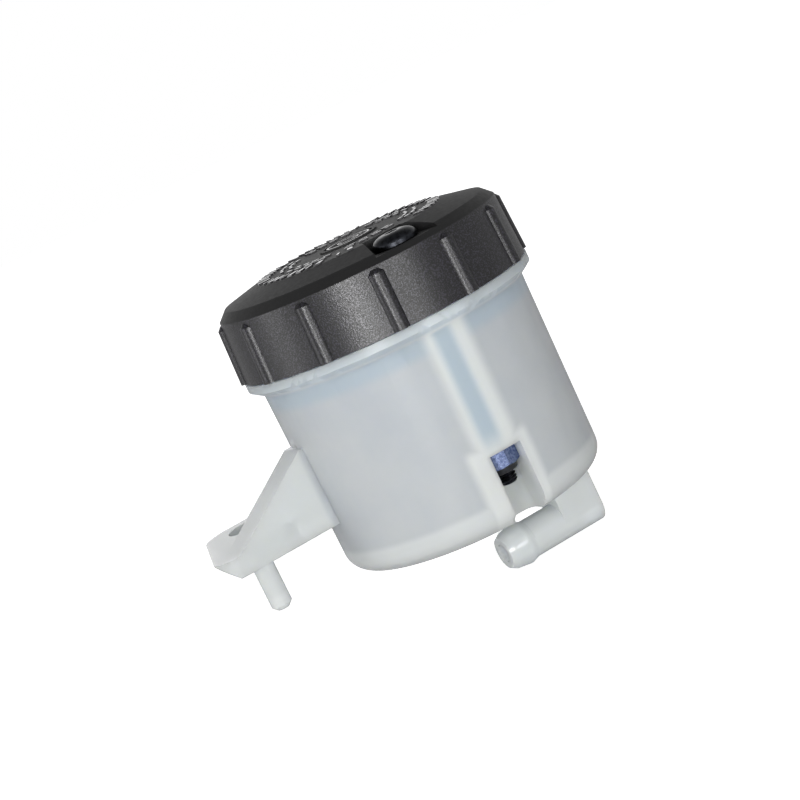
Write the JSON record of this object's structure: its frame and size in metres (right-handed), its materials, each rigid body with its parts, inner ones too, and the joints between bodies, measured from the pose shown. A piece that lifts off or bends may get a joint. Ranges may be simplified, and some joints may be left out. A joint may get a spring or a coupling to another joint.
{
  "type": "brake fluid reservoir",
  "caption": "Round translucent brake fluid tank with a ribbed screw cap, a long lock screw, a bracket arm with a locating peg and a barbed hose outlet.",
  "frame": {"origin": "centre of the bracket hole at the top face of the bracket plate", "axes": "+Z along the bracket hole and the tank axis, up to the cap; -Y towards the side of the lock screw; -X the way the spout points"},
  "size_m": [0.0868, 0.0636, 0.0759],
  "materials": {
    "tank_plastic": "translucent natural nylon",
    "cap_plastic": "grained black nylon",
    "ring_plastic": "smooth natural acetal",
    "rubber": "moulded black rubber",
    "black_steel": "black zinc",
    "zinc_steel": "blue zinc",
    "insert_nylon": "blue nylon"
  },
  "bodies": {
    "tank": {"reservoir": "tank_plastic", "filler_top": "tank_plastic", "bracket_arm": "tank_plastic", "outlet": "tank_plastic", "lock_nut": "zinc_steel", "nut_insert": "insert_nylon"},
    "cap": {"screw_cap": "cap_plastic", "slip_ring": "ring_plastic", "diaphragm": "rubber"},
    "screw": {"lock_screw": "black_steel"}
  },
  "joints": [
    {"name": "cap_lift", "type": "slide", "parent": "tank", "child": "cap", "axis": [0, 0, 1], "range_m": [0, 0.06]},
    {"name": "lock_screw_out", "type": "slide", "parent": "cap", "child": "screw", "axis": [0, 0, 1], "range_m": [0, 0.056]}
  ]
}
